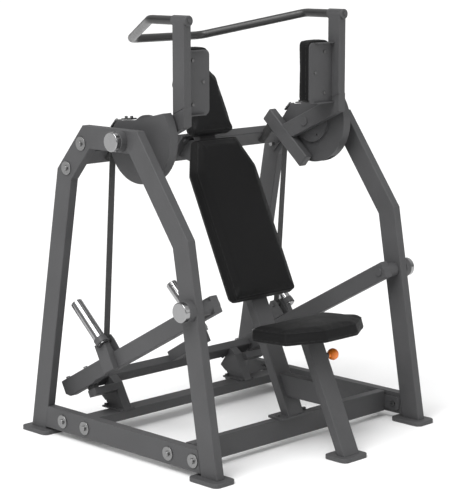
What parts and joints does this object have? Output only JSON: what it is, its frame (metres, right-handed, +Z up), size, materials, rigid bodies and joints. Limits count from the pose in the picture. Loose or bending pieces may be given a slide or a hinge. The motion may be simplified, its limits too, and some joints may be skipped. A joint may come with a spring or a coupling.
{
  "type": "plate-loaded pullover machine",
  "caption": "Floor-standing plate-loaded pullover machine: overhead handle and elbow pads on swinging arms, belts down to weight levers, leaning back pad and sliding seat.",
  "frame": {"origin": "middle of the footprint on the floor, on the machine's centre plane", "axes": "+Z up, -Y towards the front where the user sits and faces, +X towards the side with the seat's locking knob"},
  "size_m": [1.344, 1.31, 1.749],
  "materials": {
    "frame_paint": "fine-textured powder coat",
    "rubber": "matt",
    "chrome": "polished",
    "bright_steel": "zinc-plated",
    "dark_steel": "blackened",
    "vinyl": "grained upholstery vinyl",
    "board": "black-coated ply backing",
    "black_bar": "gloss black coat",
    "belt_web": "woven webbing",
    "orange_knob": "moulded"
  },
  "bodies": {
    "frame": {"arm_shaft_left": "bright_steel", "arm_shaft_right": "bright_steel", "arm_stops": "rubber", "back_board": "board", "back_pad": "vinyl", "bearing_housings": "frame_paint", "belt_left": "belt_web", "belt_right": "belt_web", "frame_bolts": "bright_steel", "frame_washers": "bright_steel", "front_crossbeam": "frame_paint", "front_upright_left": "frame_paint", "front_upright_right": "frame_paint", "head_board": "board", "head_pad": "vinyl", "leg_feet": "frame_paint", "lever_bumpers": "rubber", "lever_shaft_left": "bright_steel", "lever_shaft_right": "bright_steel", "link_beam": "frame_paint", "lower_rail_left": "frame_paint", "lower_rail_right": "frame_paint", "mid_crossbeam": "frame_paint", "pivot_caps": "chrome", "rear_crossbeam": "frame_paint", "rear_upright_left": "frame_paint", "rear_upright_right": "frame_paint", "seat_post": "frame_paint", "seat_post_foot": "frame_paint", "spine_bracket": "frame_paint", "spine_tube": "frame_paint", "stop_post_left": "frame_paint", "stop_post_right": "frame_paint", "storage_horn": "chrome", "top_crossbeam": "frame_paint"},
    "swing_arms": {"arm_left": "frame_paint", "arm_link_left": "frame_paint", "arm_link_right": "frame_paint", "arm_right": "frame_paint", "belt_clamps": "dark_steel", "belt_wraps": "belt_web", "cam_left": "frame_paint", "cam_right": "frame_paint", "elbow_bracket_left": "frame_paint", "elbow_bracket_right": "frame_paint", "elbow_pad_left": "vinyl", "elbow_pad_right": "vinyl", "elbow_screws": "dark_steel", "handle_bar": "black_bar"},
    "left_lever": {"lever_left": "frame_paint", "weight_horn_left": "chrome", "clevis_left": "frame_paint", "lever_bolts_left": "bright_steel"},
    "right_lever": {"lever_right": "frame_paint", "weight_horn_right": "chrome", "clevis_right": "frame_paint", "lever_bolts_right": "bright_steel"},
    "seat": {"seat_pad": "vinyl", "seat_slider": "frame_paint"},
    "locking_pin": {"pull_knob": "orange_knob"}
  },
  "joints": [
    {"name": "arm_swing", "type": "hinge", "parent": "frame", "child": "swing_arms", "pos_m": [0, 0.037, 1.267], "axis": [1, 0, 0], "range_deg": [0, 120]},
    {"name": "left_lever_swing", "type": "hinge", "parent": "frame", "child": "left_lever", "pos_m": [0, -0.345, 0.653], "axis": [1, 0, 0], "range_deg": [0, 35], "deforming": ["belt_left"]},
    {"name": "right_lever_swing", "type": "hinge", "parent": "frame", "child": "right_lever", "pos_m": [0, -0.345, 0.653], "axis": [1, 0, 0], "range_deg": [0, 35], "deforming": ["belt_right"]},
    {"name": "seat_slide", "type": "slide", "parent": "frame", "child": "seat", "axis": [0, 0.4258, 0.9048], "range_m": [0, 0.084]},
    {"name": "pin_pull", "type": "slide", "parent": "frame", "child": "locking_pin", "axis": [1, 0, 0], "range_m": [0, 0.012], "stiffness_N_per_m": 800, "springref_m": -0.01}
  ],
  "couplings": [
    {"joint": "left_lever_swing", "follows": "arm_swing", "ratio": 0.2875},
    {"joint": "right_lever_swing", "follows": "arm_swing", "ratio": 0.2875}
  ]
}
